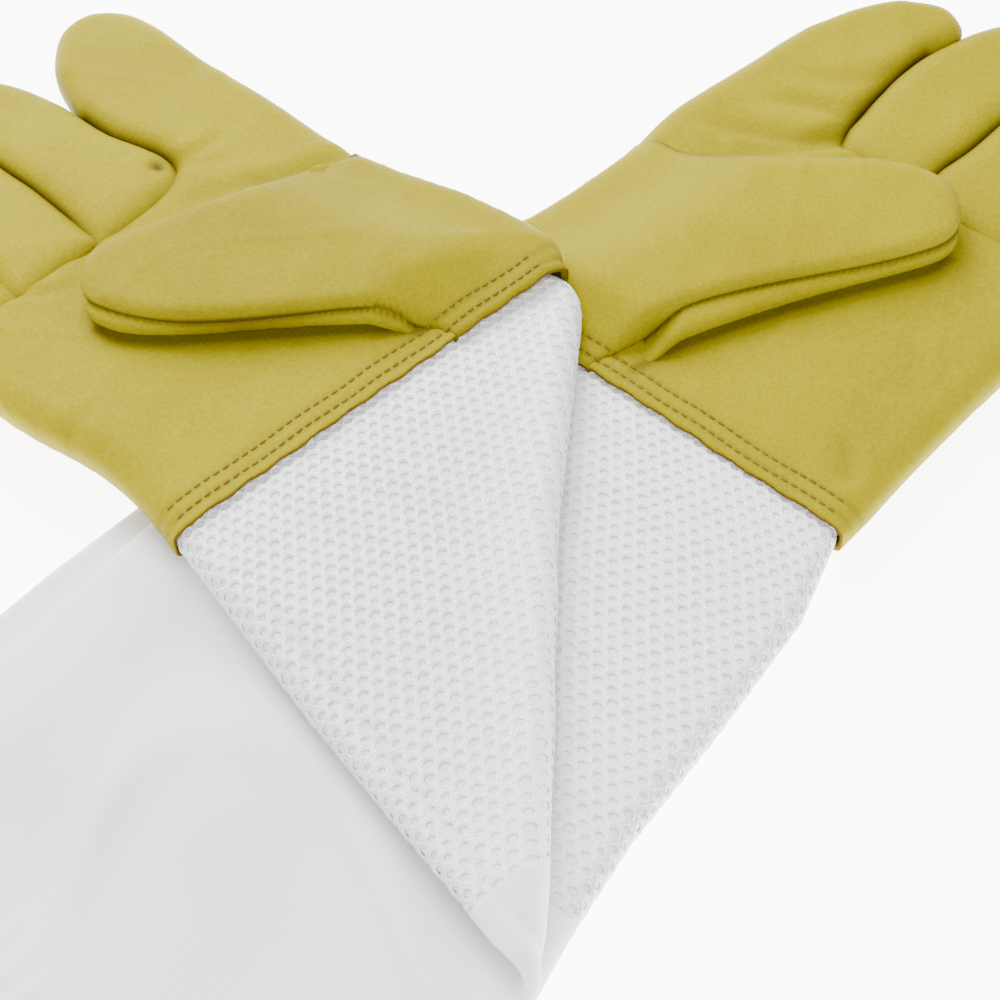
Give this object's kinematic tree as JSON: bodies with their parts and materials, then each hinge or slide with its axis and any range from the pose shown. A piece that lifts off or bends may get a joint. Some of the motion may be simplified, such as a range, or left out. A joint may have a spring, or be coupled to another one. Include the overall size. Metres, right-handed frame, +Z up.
{
  "type": "beekeeping gloves",
  "caption": "Pair of long beekeeping gloves: yellow goatskin hands, ventilated white mesh wrists and white cotton gauntlets, laid palm up with one across the other.",
  "frame": {"origin": "middle of the underside of the pair's bounding box, on the floor", "axes": "+Z up out of the palms; +Y along the left glove towards its fingertips; the right glove's fingers point towards -X"},
  "size_m": [0.3296, 0.485, 0.038],
  "materials": {
    "yellow_goatskin": "smooth soft yellow goatskin, matt with a slight sheen",
    "yellow_thread": "polyester sewing thread in the leather's colour",
    "white_mesh": "white three-layer spacer mesh with open cells",
    "white_cotton": "white cotton twill",
    "elastic_band": "white woven elastic, inside the hem"
  },
  "bodies": {
    "left_index_body": {"left_index_back": "yellow_goatskin", "left_index_fourchette": "yellow_goatskin", "left_index_front": "yellow_goatskin"},
    "left_middle_body": {"left_middle_back": "yellow_goatskin", "left_middle_fourchette_inner": "yellow_goatskin", "left_middle_fourchette_outer": "yellow_goatskin", "left_middle_front": "yellow_goatskin"},
    "left_ring_body": {"left_ring_back": "yellow_goatskin", "left_ring_fourchette_inner": "yellow_goatskin", "left_ring_fourchette_outer": "yellow_goatskin", "left_ring_front": "yellow_goatskin"},
    "left_little_body": {"left_little_back": "yellow_goatskin", "left_little_fourchette": "yellow_goatskin", "left_little_front": "yellow_goatskin"},
    "left_thumb_body": {"left_thumb_back": "yellow_goatskin", "left_thumb_front": "yellow_goatskin"},
    "left_hand": {"left_back_panel": "yellow_goatskin", "left_cuff_stitch_lower": "yellow_thread", "left_cuff_stitch_upper": "yellow_thread", "left_elastic": "elastic_band", "left_gauntlet": "white_cotton", "left_hem": "white_cotton", "left_mesh_lining": "white_mesh", "left_mesh_net": "white_mesh", "left_mesh_spacer": "white_mesh", "left_palm_panel": "yellow_goatskin", "left_thumb_wing": "yellow_goatskin"},
    "right_index_body": {"right_index_back": "yellow_goatskin", "right_index_fourchette": "yellow_goatskin", "right_index_front": "yellow_goatskin"},
    "right_middle_body": {"right_middle_back": "yellow_goatskin", "right_middle_fourchette_inner": "yellow_goatskin", "right_middle_fourchette_outer": "yellow_goatskin", "right_middle_front": "yellow_goatskin"},
    "right_ring_body": {"right_ring_back": "yellow_goatskin", "right_ring_fourchette_inner": "yellow_goatskin", "right_ring_fourchette_outer": "yellow_goatskin", "right_ring_front": "yellow_goatskin"},
    "right_little_body": {"right_little_back": "yellow_goatskin", "right_little_fourchette": "yellow_goatskin", "right_little_front": "yellow_goatskin"},
    "right_thumb_body": {"right_thumb_back": "yellow_goatskin", "right_thumb_front": "yellow_goatskin"},
    "right_hand": {"right_back_panel": "yellow_goatskin", "right_cuff_stitch_lower": "yellow_thread", "right_cuff_stitch_upper": "yellow_thread", "right_elastic": "elastic_band", "right_gauntlet": "white_cotton", "right_hem": "white_cotton", "right_mesh_lining": "white_mesh", "right_mesh_net": "white_mesh", "right_mesh_spacer": "white_mesh", "right_palm_panel": "yellow_goatskin", "right_thumb_wing": "yellow_goatskin"}
  },
  "joints": [
    {"name": "left_index_bend", "type": "hinge", "parent": "left_hand", "child": "left_index_body", "pos_m": [0.03416, 0.1595, 0.012], "axis": [1, 0, 0], "range_deg": [0, 80]},
    {"name": "left_middle_bend", "type": "hinge", "parent": "left_hand", "child": "left_middle_body", "pos_m": [0.07181, 0.1595, 0.012], "axis": [1, 0, 0], "range_deg": [0, 80]},
    {"name": "left_ring_bend", "type": "hinge", "parent": "left_hand", "child": "left_ring_body", "pos_m": [0.10246, 0.1595, 0.012], "axis": [1, 0, 0], "range_deg": [0, 80]},
    {"name": "left_little_bend", "type": "hinge", "parent": "left_hand", "child": "left_little_body", "pos_m": [0.13011, 0.1595, 0.012], "axis": [1, 0, 0], "range_deg": [0, 80]},
    {"name": "left_thumb_bend", "type": "hinge", "parent": "left_hand", "child": "left_thumb_body", "pos_m": [0.04081, 0.0895, 0.012], "axis": [0.5767, -0.817, 0], "range_deg": [0, 85]},
    {"name": "right_index_bend", "type": "hinge", "parent": "right_hand", "child": "right_index_body", "pos_m": [-0.0714, 0.03873, 0.01882], "axis": [0.1011, 0.9949, 0], "range_deg": [0, 80]},
    {"name": "right_middle_bend", "type": "hinge", "parent": "right_hand", "child": "right_middle_body", "pos_m": [-0.07505, 0.00277, 0.01882], "axis": [0.1011, 0.9949, 0], "range_deg": [0, 80]},
    {"name": "right_ring_bend", "type": "hinge", "parent": "right_hand", "child": "right_ring_body", "pos_m": [-0.07815, -0.02773, 0.01882], "axis": [0.1011, 0.9949, 0], "range_deg": [0, 80]},
    {"name": "right_little_bend", "type": "hinge", "parent": "right_hand", "child": "right_little_body", "pos_m": [-0.08095, -0.05523, 0.01882], "axis": [0.1011, 0.9949, 0], "range_deg": [0, 80]},
    {"name": "right_thumb_bend", "type": "hinge", "parent": "right_hand", "child": "right_thumb_body", "pos_m": [-0.00465, 0.03482, 0.02389], "axis": [-0.8278, 0.5571, -0.0668], "range_deg": [0, 85]},
    {"name": "right_glove_lift", "type": "slide", "parent": "left_hand", "child": "right_hand", "axis": [0, 0, 1], "range_m": [0, 0.15]}
  ]
}
